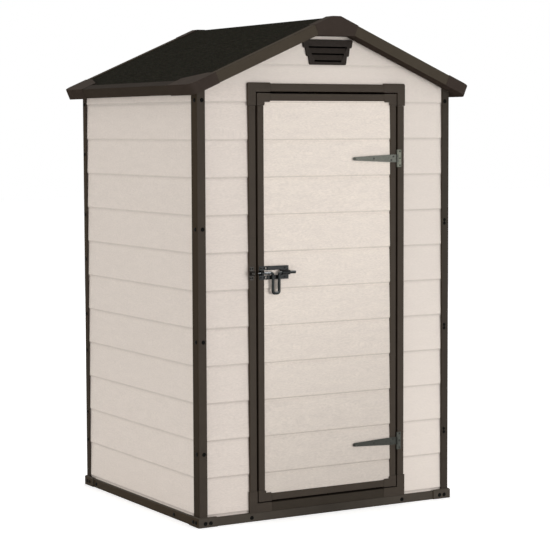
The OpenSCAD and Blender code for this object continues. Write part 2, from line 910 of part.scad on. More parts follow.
// A strip bent over the rod, w wide along it, with its left edge at x
module saddle(x, w) {
    r = rod_r + rod_clear;
    translate([x, 0, 0]) rotate([90, 0, 90]) linear_extrude(w) difference() {
        union() {
            translate([-rod_off, 0]) circle(r + lug_t);
            translate([-rod_off, -r - lug_t]) square([rod_off, 2 * (r + lug_t)]);
        }
        translate([-rod_off, 0]) circle(r);
    }
}

// A flat plate on the door, t thick
module pad(x, z, w, h, t) {
    translate([x, -t, z]) cube([w, t, h]);
}

// A rail of the latch plate, its long edges chamfered
module rail(x, z, w) {
    c = rail_t / 3;
    translate([x, 0, z]) rotate([90, 0, 90]) linear_extrude(w)
        polygon([[0, 0], [0, latch_rail], [-rail_t + c, latch_rail],
            [-rail_t, latch_rail - c], [-rail_t, c], [-rail_t + c, 0]]);
}

module latch_plate() {
    top = latch_h / 2;
    x1 = block_x + block_w;
    color(latch_color) at_bolt() difference() {
        union() {
            pad(guide_x, -top, guide_w, latch_h, lug_t);
            for (z = [top - latch_rail, -top]) {
                pad(guide_x, z, lug_w, latch_rail, lug_t);
                rail(guide_x + lug_w - lug_hole, z, x1 - guide_x - lug_w + lug_hole);
            }
            pad(block_x, -top, block_w, latch_h, rail_t);
            saddle(guide_x, guide_w);
            saddle(block_x, block_w);
        }
        for (s = [-1, 1])
            translate([guide_x + lug_w - 2 * lug_hole, over, s * (top - latch_rail / 2)])
            rotate([90, 0, 0]) cylinder(h = rail_t + 2 * over, r = lug_hole);
    }
}

module rod(x0, x1) {
    translate([x0, -rod_off, 0]) rotate([0, 90, 0]) cylinder(h = x1 - x0, r = rod_r);
}

module bolt_pin() {
    color(latch_color) at_bolt() {
        rod(tip_x + tip_l, split_x);
        translate([tip_x, -rod_off, 0]) rotate([0, 90, 0])
            cylinder(h = tip_l, r1 = tip_r, r2 = rod_r);
    }
}

// A quarter or half bend of the rod about an axis square to the door
module bend(x, z, r, from, angle) {
    translate([x, -rod_off, z]) rotate([90, 0, 0]) rotate([0, 0, from])
        rotate_extrude(angle = angle) translate([r, 0]) circle(rod_r);
}

module bow_leg(x, z0, z1) {
    translate([x, -rod_off, z0]) cylinder(h = z1 - z0, r = rod_r);
}

module bolt_bow() {
    x1 = bow_x + bow_gap;
    foot = -bow_drop + rod_r;
    low = foot + bow_bend;
    color(latch_color) at_bolt() {
        rod(split_x, bow_x - rod_bend);
        bend(bow_x - rod_bend, -rod_bend, rod_bend, 0, 90);
        bow_leg(bow_x, low, -rod_bend);
        bend(bow_x + bow_bend, low, bow_bend, 180, 90);
        translate([0, 0, foot]) rod(bow_x + bow_bend, x1 - bow_bend);
        bend(x1 - bow_bend, low, bow_bend, 270, 90);
        bow_leg(x1, low, -rod_bend);
        bend(x1 + rod_bend, -rod_bend, rod_bend, 90, 90);
        rod(x1 + rod_bend, tail_x);
    }
}

module bolt_keeper() {
    top = latch_h / 2;
    x0 = -frame_w / 2;
    color(latch_color) at_bolt() {
        for (z = [top - latch_rail, -top]) pad(x0, z, keeper_w, latch_rail, lug_t);
        pad(x0, -top, keeper_arch, latch_h, lug_t);
        saddle(x0, keeper_arch);
    }
}

floor_tray();
corner_boots();
post_front_left();
post_front_right();
post_back_left();
post_back_right();
left_wall();
right_wall();
back_wall();
front_wall_left();
front_wall_right();
front_gable();
gable_vent();
frame_jamb_left();
frame_jamb_right();
frame_head();
frame_sill();
frame_elbows();
door_panel();
door_stile_left();
door_stile_right();
door_rail_top();
door_rail_bottom();
door_elbows();
hinge_plate_top();
hinge_plate_bottom();
hinge_strap_top();
hinge_strap_bottom();
hinge_pins();
latch_plate();
bolt_pin();
bolt_bow();
bolt_keeper();
roof_panel_left();
roof_panel_right();
rake_front_left();
rake_front_right();
rake_back_left();
rake_back_right();
eave_left();
eave_right();
roof_corner_caps();
ridge_cap_front();
ridge_cap_back();
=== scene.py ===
# %% [markdown]
# # A plastic tool shed
# The frame is the shed as its CAD source builds it: a floor tray, corner
# posts, plank-look wall panels, a gable roof with its trims, a door on tee
# hinges and a pad bolt. Those shapes are right already, so this lesson gives
# each of them its finish and adds the small things that hold it together:
# the screws. Everything is in metres, X across the front, Y to the back.

# %% Load the frame
import bmesh
import bpy
import math
from mathutils import Matrix, Vector


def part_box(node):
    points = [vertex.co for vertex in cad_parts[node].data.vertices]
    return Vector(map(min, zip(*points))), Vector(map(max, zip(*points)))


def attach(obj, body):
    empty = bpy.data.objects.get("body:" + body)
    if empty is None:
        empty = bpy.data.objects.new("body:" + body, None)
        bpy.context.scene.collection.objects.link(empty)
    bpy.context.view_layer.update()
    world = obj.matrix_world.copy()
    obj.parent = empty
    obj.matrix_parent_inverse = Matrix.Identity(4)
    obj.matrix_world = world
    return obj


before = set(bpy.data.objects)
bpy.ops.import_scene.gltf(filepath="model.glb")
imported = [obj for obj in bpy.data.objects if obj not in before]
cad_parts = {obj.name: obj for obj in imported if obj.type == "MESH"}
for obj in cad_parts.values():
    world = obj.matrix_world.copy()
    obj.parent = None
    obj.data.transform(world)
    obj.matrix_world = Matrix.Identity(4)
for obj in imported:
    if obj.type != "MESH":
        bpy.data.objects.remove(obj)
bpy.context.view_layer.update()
print("nodes:", len(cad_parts))

# %% [markdown]
# ## One function for nodes
# A material is a small graph. Each step adds one node, sets a few of its
# values and links its inputs to what came before. One function does all
# three. Inputs are named as in the editor, or numbered where two share a
# name. Sizes are written in millimetres, in which such a shed is drawn, and
# MM turns them into Blender's metres. The kinds of node that come back often
# have short names here.

# %% Node and colour helpers
MM = 0.001
MATH = "ShaderNodeMath"
VECTOR = "ShaderNodeVectorMath"
RANGE = "ShaderNodeMapRange"
NOISE = "ShaderNodeTexNoise"
COORDS = "ShaderNodeTexCoord"
SPLIT = "ShaderNodeSeparateXYZ"
MIX = "ShaderNodeMix"


def add(tree, kind, settings=None, links=None):
    """Adds one node: settings fill properties or inputs, links join inputs.

    A link comes from an output or a node, whose first output it then means.
    """
    made = tree.nodes.new(kind)
    for name, value in (settings or {}).items():
        if isinstance(name, str) and hasattr(made, name):
            setattr(made, name, value)
        else:
            made.inputs[name].default_value = value
    for name, source in (links or {}).items():
        start = getattr(source, "outputs", [source])[0]
        tree.links.new(start, made.inputs[name])
    return made


def linear(hex_colour):
    """An sRGB hex colour as Blender's linear red, green, blue and alpha."""
    parts = [int(hex_colour[i:i + 2], 16) / 255 for i in (1, 3, 5)]
    return [v / 12.92 if v <= 0.04045 else ((v + 0.055) / 1.055) ** 2.4
            for v in parts] + [1.0]


print("beige in linear light:", [round(v, 3) for v in linear("#ddd4c9")])

# %% [markdown]
# ## A finish starts empty and ends on a skin
# Every finish here has the same two ends: an empty material to fill, and a
# skin, which is a Principled BSDF with the finish's colour and bumps. The
# bumps have a real depth in metres. Between the ends, two colours fade into
# each other wherever a pattern says so. The pattern is mostly noise, which
# runs from 0 to 1 but seldom leaves the middle of it, so the fade is as long
# as that middle.

# %% The ends of a finish
NOISE_LOW, NOISE_HIGH = 0.3, 0.7


def blank(name):
    """A new material and its node tree, emptied."""
    made = bpy.data.materials.new(name)
    made.use_nodes = True
    made.node_tree.nodes.clear()
    return made, made.node_tree


def blend(tree, share, low, high, start=NOISE_LOW, end=NOISE_HIGH):
    """One colour fades into another as share goes from start to end."""
    part = add(tree, RANGE, {"From Min": start, "From Max": end},
               {"Value": share})
    return add(tree, MIX,
               {"data_type": "RGBA", 6: linear(low), 7: linear(high)},
               {0: part}).outputs[2]


def skin(tree, colour, height, depth, **values):
    """The surface: its colour, bumps of a depth in metres and plain values."""
    bump = add(tree, "ShaderNodeBump", {"Strength": 1.0, "Distance": depth},
               {"Height": height})
    settings = {key.replace("_", " "): value for key, value in values.items()}
    surface = add(tree, "ShaderNodeBsdfPrincipled", settings,
                  {"Base Color": colour, "Normal": bump})
    add(tree, "ShaderNodeOutputMaterial", links={"Surface": surface})


print("colours fade over noise from", NOISE_LOW, "to", NOISE_HIGH)

# %% [markdown]
# ## Grain that follows the planks
# The panels are polypropylene, injection moulded in a steel mould whose face
# was etched with a wood pattern. The pattern runs along each plank, and
# every plank shows another piece of it. On the front and the back a plank
# runs along X, on the sides along Y. X + Y is right for both, because the
# other of the two hardly changes on a flat wall. A tiled wood texture would
# repeat and go soft close up, so noise draws it: stretched along that line it
# gives streaks, and a jump from row to row in the noise's third direction
# moves the pattern from plank to plank.

# %% Streaks
ROW_JUMP = 7.31


def streaks(tree, along, across, row, length, width, detail):
    """Noise drawn out along one direction: length by width, in metres."""
    where = add(tree, "ShaderNodeCombineXYZ",
                links={0: along, 1: across, 2: row})
    scaled = add(tree, VECTOR, {
        "operation": "MULTIPLY", 1: (1 / length, 1 / width, ROW_JUMP)},
        {0: where})
    return add(tree, NOISE, {
        "Scale": 1.0, "Detail": detail, "Roughness": 0.6, "Distortion": 0.2},
        {"Vector": scaled})


print("the noise jumps", ROW_JUMP, "from plank to plank")

# %% [markdown]
# ## The step from plank to plank
# Each plank laps the one below it, and the step throws a shade on the plank
# below. That shade is painted into the colour: a dark line that fades out
# downwards over a finger's width. Planks repeat up the wall, so the height is
# turned into a plank number and a part of one plank, and a colour ramp holds
# the painted shades along that part. One ramp does for every plank, where a
# line painted on each of them would have to be moved when the shed grows.

# %% Shade along a plank
PLANK = 143.5 * MM
PLANK_FIRST = 43.5 * MM
EAVES = 1620 * MM
# Height up a plank in mm, and the share of colour that the painted shade
# leaves there
WALL_LAP = [(0, 0.85), (2.6, 0.86), (4.2, 1.0),
            (131, 1.0), (139, 0.91), (140.4, 0.85), (143.5, 0.85)]
DOOR_LAP = [(0, 0.82), (1.0, 0.83), (1.8, 1.0), (131, 1.0), (134, 0.975),
            (137, 0.99), (140.6, 0.97), (141.4, 0.82), (143.5, 0.82)]


def plank_rows(tree, z):
    """The number of the plank at a height, and how far up it that is."""
    rise = add(tree, RANGE, {
        "clamp": False, "From Min": PLANK_FIRST,
        "From Max": PLANK_FIRST + PLANK}, {"Value": z})
    return (add(tree, MATH, {"operation": "FLOOR"}, {0: rise}),
            add(tree, MATH, {"operation": "FRACT"}, {0: rise}))


def lap_shade(tree, part, lap):
    """The painted shade for each height up one plank, from its foot to its
    top.
    """
    ramp = add(tree, "ShaderNodeValToRGB", links={0: part})
    stops = ramp.color_ramp.elements
    stops.remove(stops[1])
    for number, (height, share) in enumerate(lap):
        stop = stops[0] if number == 0 else stops.new(height * MM / PLANK)
        stop.color = (share, share, share, 1)
    return ramp


print("planks up to the eaves:", round((EAVES - PLANK_FIRST) / PLANK, 1))

# %% [markdown]
# ## Painted shade under the eaves, and the planks' foot
# Lower down, the planks change tone. A slope over height and width says how
# much colour that takes there, at most the share called foot. On the door it
# darkens the lower half, most at the side of the hinges. On the walls foot is
# a little below zero, so they grow a little paler low down. Right under the
# eaves the painted shade of the highest step is raised to a power. That
# darkens the step alone, and not the whole plank.

# %% Painted shade under the eaves, and tone by height
# A metre to the right counts as this much height, and the change of tone at
# the foot is fullest at the first height and ends at the second
FOOT_LEAN = -0.45
FOOT_FULL, FOOT_END = 0.05, 0.95
# Heights over which the painted shade in the steps deepens, below the eaves
EAVE_SHADE_FROM, EAVE_SHADE_FULL = 1.5, 1.6


def step_share(tree, part, z, lap, eave_shade_power):
    """The painted shade of a plank's step, painted darker still below the
    eaves.
    """
    eave_deepening = add(tree, RANGE, {
        "From Min": EAVE_SHADE_FROM, "From Max": EAVE_SHADE_FULL,
        "To Min": 1.0, "To Max": eave_shade_power}, {"Value": z})
    # Painted shade: the step's shade raised to a power deepens it below the
    # eaves
    return add(tree, MATH, {"operation": "POWER"},
               {0: lap_shade(tree, part, lap), 1: eave_deepening})


def foot_share(tree, x, z, foot):
    """The share of colour left by the change of tone towards the foot."""
    slope = add(tree, MATH, {"operation": "MULTIPLY_ADD", 1: FOOT_LEAN},
                {0: x, 2: z})
    return add(tree, RANGE, {
        "From Min": FOOT_FULL, "From Max": FOOT_END, "To Min": 1.0 - foot},
        {"Value": slope})


# The height from which the steps' painted shade is deepest
print("the eaves keep the rain off from", EAVE_SHADE_FULL, "m up")

# %% [markdown]
# ## Moulded polypropylene, beige
# Polypropylene is waxy: an index of refraction near 1.49 and a soft, wide
# highlight. The etched grain is a few tenths of a millimetre deep. Its finest
# lines are under a millimetre and wouldn't show at this distance, so the
# streaks here are drawn 4 mm high, and a slow noise lifts and lowers them
# into the arches of sawn wood. The panels come from several moulds, some of
# them more worn: the strip at the door's left has the crispest grain, the one
# at its right and the gable the faintest. The door is a shade paler than the
# walls. All of them are one function with other values, so they stay related.

# %% Wall resin
RESIN_IOR = 1.49
ARCH = 60 * MM


def plank_resin(name, low, high, contrast, lap, foot, eave_shade_power=1.0):
    """Beige wall resin: etched grain, the painted shade of each step, a tone
    changing at the foot.
    """
    made, tree = blank(name)
    place = add(tree, COORDS).outputs["Object"]
    x, y, z = add(tree, SPLIT, links={0: place}).outputs
    along = add(tree, MATH, {"operation": "ADD"}, {0: x, 1: y})
    row, part = plank_rows(tree, z)
    bend = streaks(tree, along, z, row, length=170 * MM, width=70 * MM,
                   detail=1.0)
    lifted = add(tree, MATH, {"operation": "MULTIPLY_ADD", 1: ARCH},
                 {0: bend, 2: z})
    grain = streaks(tree, along, lifted, row, length=13 * MM, width=3.6 * MM,
                    detail=4.0)
    broad = streaks(tree, along, z, row, length=90 * MM, width=22 * MM,
                    detail=2.0)
    etched = add(tree, RANGE, {
        "From Min": NOISE_LOW, "From Max": NOISE_HIGH,
        "To Min": 1.0 - contrast, "To Max": 1.0 + contrast}, {"Value": grain})
    # The grain, darkened by the painted shade of each plank's step
    stepped = add(tree, MATH, {"operation": "MULTIPLY"},
                  {0: etched, 1: step_share(tree, part, z, lap, eave_shade_power)})
    shade = add(tree, MATH, {"operation": "MULTIPLY"},
                {0: stepped, 1: foot_share(tree, x, z, foot)})
    colour = add(tree, VECTOR, {"operation": "SCALE"},
                 {0: blend(tree, broad, low, high), "Scale": shade})
    skin(tree, colour, grain, depth=0.6 * MM, Roughness=0.62, IOR=RESIN_IOR,
         Specular_IOR_Level=0.2)
    return made


wall_resin = plank_resin(
    "moulded_polypropylene_beige", "#ddd2c8", "#e1d6cc",
    contrast=0.055, lap=WALL_LAP, foot=-0.05, eave_shade_power=1.9)
crisp_resin = plank_resin(
    "moulded_polypropylene_beige_crisp", "#dcd1c8", "#e0d5cc",
    contrast=0.065, lap=WALL_LAP, foot=-0.01, eave_shade_power=1.4)
faint_resin = plank_resin(
    "moulded_polypropylene_beige_faint", "#ddd3ca", "#dfd5cc",
    contrast=0.03, lap=WALL_LAP, foot=-0.06)
door_resin = plank_resin(
    "moulded_polypropylene_beige_door", "#e1d6cc", "#e7dcd1",
    contrast=0.08, lap=DOOR_LAP, foot=0.24)
print("made", wall_resin.name, "and", door_resin.name)

# %% [markdown]
# ## Moulded polypropylene, brown
# The posts, trims and frames are the same plastic, pigmented dark brown. Light
# and shade are painted into its colour: front and back faces are painted a
# shade paler, as lit from ahead, sides darker, as in shade, and what looks up
# paler, as lit from above. Each face could have a material slot of its own,
# but the CAD meshes have one slot, so three browns are blended by the
# direction in which a face looks. On the sides the painted shade deepens near
# the ground.

# %% A brown for each direction
# How far a face has to lean to begin and to end its change of brown
UPWARD = {"From Min": 0.5, "From Max": 0.8}
AHEAD = {"From Min": 0.25, "From Max": 0.85}
# Up to this height the painted shade on the sides deepens downwards, and at
# the ground it leaves this share of their colour
SIDE_SHADE_UP_TO, SIDE_SHADE_SHARE = 1.4, 0.7


def brown_lit_by_face(tree, normal, height, front, side, top):
    """Painted light: a lit brown on front, back and upper faces, a shaded one
    on sides.
    """
    facing = add(tree, SPLIT, links={0: normal})
    side_shade = add(tree, RANGE, {"From Max": SIDE_SHADE_UP_TO, "To Min": SIDE_SHADE_SHARE},
               {"Value": height})
    sides = add(tree, VECTOR,
                {"operation": "SCALE", 0: linear(side)[:3]}, {"Scale": side_shade})
    upward = add(tree, RANGE, UPWARD, {"Value": facing.outputs["Z"]})
    capped = add(tree, MIX, {"data_type": "RGBA", 7: linear(top)},
                 {0: upward, 6: sides}).outputs[2]
    across = add(tree, MATH, {"operation": "ABSOLUTE"},
                 {0: facing.outputs["Y"]})
    ahead = add(tree, RANGE, AHEAD, {"Value": across})
    return add(tree, MIX, {"data_type": "RGBA", 7: linear(front)},
               {0: ahead, 6: capped}).outputs[2]


# The painted shade on the sides reaches this high
print("dirt reaches", SIDE_SHADE_UP_TO, "m up the sides")

# %% [markdown]
# ## Uneven tone, a darker middle, and pits
# The brown wanders by a few hundredths in clouds as wide as a hand. Below the
# door the tray is darker, fading out to either side of the middle, where a
# value gives the share of colour that is left. At close range the blasting
# shows as pits of about 0.5 mm, drawn 2 mm wide here, because finer ones
# wouldn't show. They are bumps and not shapes, being far shallower than
# a millimetre.

# %% Trim resin
DARK_REACH = 0.36
UNEVEN = 0.06


def trim_resin(name, front, side, top, middle_share=1.0, **values):
    """Brown trim resin, uneven and pitted, darker at the door's middle, with
    painted light by face.
    """
    made, tree = blank(name)
    place = add(tree, COORDS).outputs
    width, _, height = add(tree, SPLIT, links={0: place["Object"]}).outputs
    cloud = add(tree, NOISE,
                {"Scale": 1 / (60 * MM), "Detail": 5.0, "Roughness": 0.65},
                {"Vector": place["Object"]})
    uneven = add(tree, RANGE, {
        "From Min": NOISE_LOW, "From Max": NOISE_HIGH,
        "To Min": 1.0 - UNEVEN, "To Max": 1.0 + UNEVEN}, {"Value": cloud})
    from_door = add(tree, MATH, {"operation": "ABSOLUTE"}, {0: width})
    below_door = add(tree, RANGE, {"From Max": DARK_REACH, "To Min": middle_share},
                  {"Value": from_door})
    share = add(tree, MATH, {"operation": "MULTIPLY"},
                {0: uneven, 1: below_door})
    tone = brown_lit_by_face(tree, place["Normal"], height, front, side, top)
    colour = add(tree, VECTOR, {"operation": "SCALE"},
                 {0: tone, "Scale": share})
    pits = add(tree, NOISE, {"Scale": 1 / (2 * MM), "Detail": 3.0},
               {"Vector": place["Object"]})
    skin(tree, colour, pits, depth=0.12 * MM, IOR=RESIN_IOR, **values)
    return made


SHEEN = {"Roughness": 0.5, "Specular_IOR_Level": 0.03}
brown = trim_resin("moulded_polypropylene_brown", "#433c35", "#463b31",
                   "#453e37", **SHEEN)
brown_post = trim_resin("moulded_polypropylene_brown_post", "#413a33",
                        "#33291c", "#453e37", **SHEEN)
brown_dark = trim_resin("moulded_polypropylene_brown_dark_post", "#3b352f",
                        "#33291c", "#453e37", **SHEEN)
brown_boot = trim_resin("moulded_polypropylene_brown_boot", "#4b453e",
                        "#413526", "#4e4840", **SHEEN)
brown_tray = trim_resin("moulded_polypropylene_brown_tray", "#4a443d",
                        "#413526", "#4e4840", middle_share=0.66, **SHEEN)
brown_foot = trim_resin("moulded_polypropylene_brown_foot", "#38322b",
                        "#463b31", "#3e372f", **SHEEN)
print("made", brown.name, "and its neighbours")

# %% [markdown]
# ## The roof's trims
# The trims of the roof come from their own moulds: the rakes a touch greener,
# the caps over the corners and the ridge a touch darker and redder. The eaves
# are painted darkest, as painted shade on fascias that face the sides. They
# are the same resin, so the same function makes them.
# Only their sheen differs: their upper faces are mostly seen at a slant,
# where even a weak gloss would mirror the whole sky, so they get none.

# %% Roof trim resin
MATT = {"Roughness": 0.8, "Specular_IOR_Level": 0.0}
brown_rake = trim_resin("moulded_polypropylene_brown_rake", "#474037",
                        "#38302a", "#5c544b", **MATT)
brown_cap = trim_resin("moulded_polypropylene_brown_cap", "#3d3530",
                       "#39312b", "#58504a", **MATT)
# The eaves' darker brown is painted shade
brown_eave_shaded = trim_resin("moulded_polypropylene_brown_eave", "#3c3530",
                        "#38312a", "#4c4641", **MATT)
print("made", brown_rake.name, "and the caps' and eaves' browns")

# %% [markdown]
# ## Roof panels
# The roof is double-wall polypropylene, nearly black, with a grain of short
# scratches that run with the ridge, along Y, over a fine speckle. Old resin
# of other colours is ground into it, so its specks are faintly tinted: the
# colours of a noise, which lie around a half, are turned into tints around
# one and multiply the black. It is so matt that nothing is mirrored in it.
# The scratches are bumps, because cut into the mesh they would take millions
# of faces and show no more.

# %% Roof resin
TINT_GAIN, TINT_FLOOR = 0.8, 0.6

roof_resin, tree = blank("moulded_polypropylene_roof_black")
place = add(tree, COORDS).outputs["Object"]
x, y, z = add(tree, SPLIT, links={0: place}).outputs
threads = streaks(tree, y, x, z, length=45 * MM, width=4 * MM, detail=3.0)
speckle = streaks(tree, y, x, z, length=7 * MM, width=6 * MM, detail=2.0)
mixed = add(tree, MATH, {"operation": "MULTIPLY"}, {0: threads, 1: speckle})
black = blend(tree, mixed, "#25241f", "#3b3932", start=0.14, end=0.38)
specks = add(tree, NOISE, {"Scale": 1 / (6 * MM)}, {"Vector": place})
tint = add(tree, VECTOR, {
    "operation": "MULTIPLY_ADD", 1: [TINT_GAIN] * 3, 2: [TINT_FLOOR] * 3},
    {0: specks.outputs["Color"]})
tinted = add(tree, VECTOR, {"operation": "MULTIPLY"}, {0: black, 1: tint})
skin(tree, tinted, threads, depth=0.8 * MM, Roughness=0.9, IOR=RESIN_IOR,
     Specular_IOR_Level=0.0)
print("made", roof_resin.name)

# %% [markdown]
# ## Vent and screws
# The vent and the screws' heads are black polypropylene, smoother than the
# trims. Their colour and surface wander a little, in clouds. Two noises could
# do that, but one that leads both makes a paler spot a raised one as well,
# as on a real moulding.

# %% Black resins


def clouded(name, low, high, cloud, depth, **values):
    """A finish whose colour and surface wander in clouds of one size."""
    made, tree = blank(name)
    place = add(tree, COORDS).outputs["Object"]
    noise = add(tree, NOISE,
                {"Scale": 1 / cloud, "Detail": 4.0, "Roughness": 0.6},
                {"Vector": place})
    skin(tree, blend(tree, noise, low, high), noise, depth, **values)
    return made


SMOOTH = {"IOR": RESIN_IOR, "Specular_IOR_Level": 0.04}
vent_resin = clouded("moulded_polypropylene_vent_black", "#2b2622", "#332d29",
                     cloud=14 * MM, depth=0.1 * MM, Roughness=0.5, **SMOOTH)
screw_resin = clouded("polypropylene_screw_cap_black", "#0a0a08", "#11110e",
                      cloud=4 * MM, depth=0.05 * MM, Roughness=0.4, **SMOOTH)
print("made", vent_resin.name, "and", screw_resin.name)

# %% [markdown]
# ## Steel
# The tee hinges are mild steel, zinc plated and passivated: a dull grey-green
# metal with faint clouds. The lower hinge is darker and a little rougher, and
# the plates are a shade paler than the straps. The pad bolt is the same steel
# with a black zinc finish, darker and a little glossier. Its rod and bow get a
# painted highlight: their upper sides are painted bright, as lit from above.
# The way a face looks says how bright it is painted, and a noise breaks the
# edge up.

# %% Steel finishes
HIGHLIGHT_NOISE = 0.3
HIGHLIGHT_FADE = 0.4


def highlit_rod(name, black, bright, start, **values):
    """Black zinc on a rod, with a painted highlight where its surface looks
    up.
    """
    made, tree = blank(name)
    place = add(tree, COORDS).outputs
    up = add(tree, SPLIT, links={0: place["Normal"]}).outputs["Z"]
    scuffs = add(tree, NOISE, {"Scale": 1 / (5 * MM), "Detail": 4.0},
                 {"Vector": place["Object"]})
    # Painted highlight: faces that look up, broken up by noise
    top_highlight = add(tree, MATH, {"operation": "MULTIPLY_ADD", 1: HIGHLIGHT_NOISE},
               {0: scuffs, 2: up})
    tone = blend(tree, top_highlight, black, bright, start, start + HIGHLIGHT_FADE)
    skin(tree, tone, scuffs, depth=0.04 * MM, **values)
    return made


ZINC = {"cloud": 6 * MM, "depth": 0.06 * MM, "Metallic": 0.75}
BLACK = {"depth": 0.08 * MM, "Roughness": 0.4, "Metallic": 0.8}
zinc_steel = clouded("zinc_plated_mild_steel", "#464741", "#555650",
                     Roughness=0.5, **ZINC)
zinc_plate = clouded("zinc_plated_mild_steel_plate", "#535449", "#66675e",
                     Roughness=0.5, **ZINC)
dull_steel = clouded("zinc_plated_mild_steel_dull", "#2b2c28", "#363732",
                     Roughness=0.55, **ZINC)
dull_plate = clouded("zinc_plated_mild_steel_dull_plate", "#373833",
                     "#444540", Roughness=0.55, **ZINC)
zinc_screw = clouded("zinc_plated_screw", "#262623", "#32322e", cloud=3 * MM,
                     depth=0.05 * MM, Roughness=0.45, Metallic=0.8)
bolt_steel = clouded("black_zinc_plated_steel", "#131414", "#191a1a",
                     cloud=8 * MM, **BLACK)
keeper_steel = clouded("black_zinc_plated_keeper", "#1f1d1a", "#292623",
                       cloud=6 * MM, **BLACK)
# The bright second colour of the rod and the bow is a painted highlight
rod_steel = highlit_rod("black_zinc_plated_rod", "#3b3d3e", "#b4b5b6",
                     start=0.22, Roughness=0.24, Metallic=0.95)
bow_steel = highlit_rod("black_zinc_plated_bow", "#1f2121", "#9a9c9c",
                     start=0.5, Roughness=0.28, Metallic=0.9)
print("made", zinc_steel.name, "and", bolt_steel.name)

# %% [markdown]
# ## Give every CAD node its finish
# A CAD node keeps its mesh. Only its material slots change: the one that came
# with the file makes way for the finish that the table names. A list of all
# the nodes would do too, but their names tell what they are, so a few words
# are enough. A node's name can hold more than one word of the table, and then
# the longest one counts. What no word fits is a frame or an edge of the door,
# in the plain brown.

# %% Dress the nodes
FINISH = {
    "wall": wall_resin, "gable": faint_resin,
    "front_wall_left": crisp_resin, "front_wall_right": faint_resin,
    "door_panel": door_resin,
    "roof_panel": roof_resin,
    "gable_vent": vent_resin,
    "rake": brown_rake, "eave": brown_eave_shaded,
    "ridge_cap": brown_cap, "corner_caps": brown_cap,
    "post": brown_post, "post_front_right": brown_dark,
    "boots": brown_boot, "floor_tray": brown_tray,
    "frame_sill": brown_foot,
    "hinge": zinc_steel, "hinge_plate_top": zinc_plate,
    "hinge_strap_bottom": dull_steel, "hinge_plate_bottom": dull_plate,
    "latch": bolt_steel, "keeper": keeper_steel,
    "bolt_pin": rod_steel, "bolt_bow": bow_steel,
}


def finish_for(name):
    """The finish of the longest word in the table that the name holds."""
    words = [w for w in FINISH if w in name]
    return FINISH[max(words, key=len)] if words else brown


for name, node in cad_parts.items():
    node.data.materials.clear()
    node.data.materials.append(finish_for(name))
print("dressed", len(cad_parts), "nodes")

# %% [markdown]
# ## Screw heads
# A screw's head is a turned shape, so it is spun: a half profile goes once
# round the axis. A cylinder with a bevelled edge would do for a plain head,
# but a profile makes the socket in the same turn. The heads on the shed are
# shallow black domes with a round socket. Those on the steel are small
# countersunk heads with a dimple. One head of each kind is made at the
# origin, pointing along Z, to be copied.

# %% Turn the heads
TOUCHING = 1e-6


def turned(profile, steps):
    """A closed turned shape: profile is (radius, height), axis to axis."""
    bm = bmesh.new()
    last = None
    for radius, height in profile:
        vert = bm.verts.new((radius, 0, height))
        if last is not None:
            bm.edges.new((last, vert))
        last = vert
    bmesh.ops.spin(bm, geom=list(bm.verts) + list(bm.edges), cent=(0, 0, 0),
                   axis=(0, 0, 1), angle=math.tau, steps=steps, use_merge=True)
    bmesh.ops.remove_doubles(bm, verts=bm.verts, dist=TOUCHING)
    bmesh.ops.recalc_face_normals(bm, faces=bm.faces)
    made = bpy.data.meshes.new("head")
    bm.to_mesh(made)
    bm.free()
    return made


# Each corner of a half profile, as a share of the radius and of the height
DOME = [(0, 0.45), (0.34, 0.45), (0.40, 1), (0.62, 0.94), (0.86, 0.66),
        (1, 0.2), (1, -0.1), (0, -0.1)]
FLAT = [(0, 0.1), (0.3, 0.3), (0.42, 1), (0.9, 0.8), (1, 0), (1, -0.4),
        (0, -0.4)]


def head(shape, radius, height, steps):
    """One head: a half profile at its real size, turned."""
    return turned([(r * radius, h * height) for r, h in shape], steps)


CAP = head(DOME, radius=8 * MM, height=3 * MM, steps=20)
PAIR_CAP = head(DOME, radius=6.5 * MM, height=3 * MM, steps=20)
STEEL = head(FLAT, radius=4 * MM, height=1 * MM, steps=16)
SMALL = head(FLAT, radius=3.2 * MM, height=1 * MM, steps=16)
print("faces of a cap:", len(CAP.polygons))

# %% [markdown]
# ## Set heads on faces
# A group of screws that moves together is one piece, where an object for
# each head would make a long list. Each head is copied into it, turned to
# look out of the face that it sits on, and moved to its place. The piece then
# rides on the body that its screws hold, so it follows the door where they
# do.

# %% Heads in their places
OUT = {"front": Vector((0, -1, 0)), "back": Vector((0, 1, 0)),
       "left": Vector((-1, 0, 0)), "right": Vector((1, 0, 0))}


def heads(name, kind, places, body, material):
    """One piece of many heads; a place is (side it faces, (x, y, z) in mm)."""
    bm = bmesh.new()
    for side, at in places:
        start = len(bm.verts)
        bm.from_mesh(kind)
        bm.verts.ensure_lookup_table()
        turn = OUT[side].to_track_quat("Z", "Y").to_matrix().to_4x4()
        move = Matrix.Translation(Vector(at) * MM)
        bmesh.ops.transform(bm, matrix=move @ turn, verts=bm.verts[start:])
    mesh = bpy.data.meshes.new(name)
    bm.to_mesh(mesh)
    bm.free()
    mesh.polygons.foreach_set("use_smooth", [True] * len(mesh.polygons))
    mesh.materials.append(material)
    made = bpy.data.objects.new(name, mesh)
    bpy.context.scene.collection.objects.link(made)
    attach(made, body)
    print(name, "holds", len(places), "heads")


def reach(node):
    """How far a CAD node reaches from the shed's middle: x and y in mm."""
    low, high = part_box(node)
    return [max(-low[axis], high[axis]) / MM for axis in (0, 1)]


def middle(node, axis):
    """The middle of a CAD node's box along one axis, in mm."""
    low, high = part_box(node)
    return (low[axis] + high[axis]) / 2 / MM


def back_of(node):
    """How far back a CAD node reaches, in mm."""
    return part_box(node)[1].y / MM


print("the back boots reach", round(back_of("corner_boots")), "mm back")

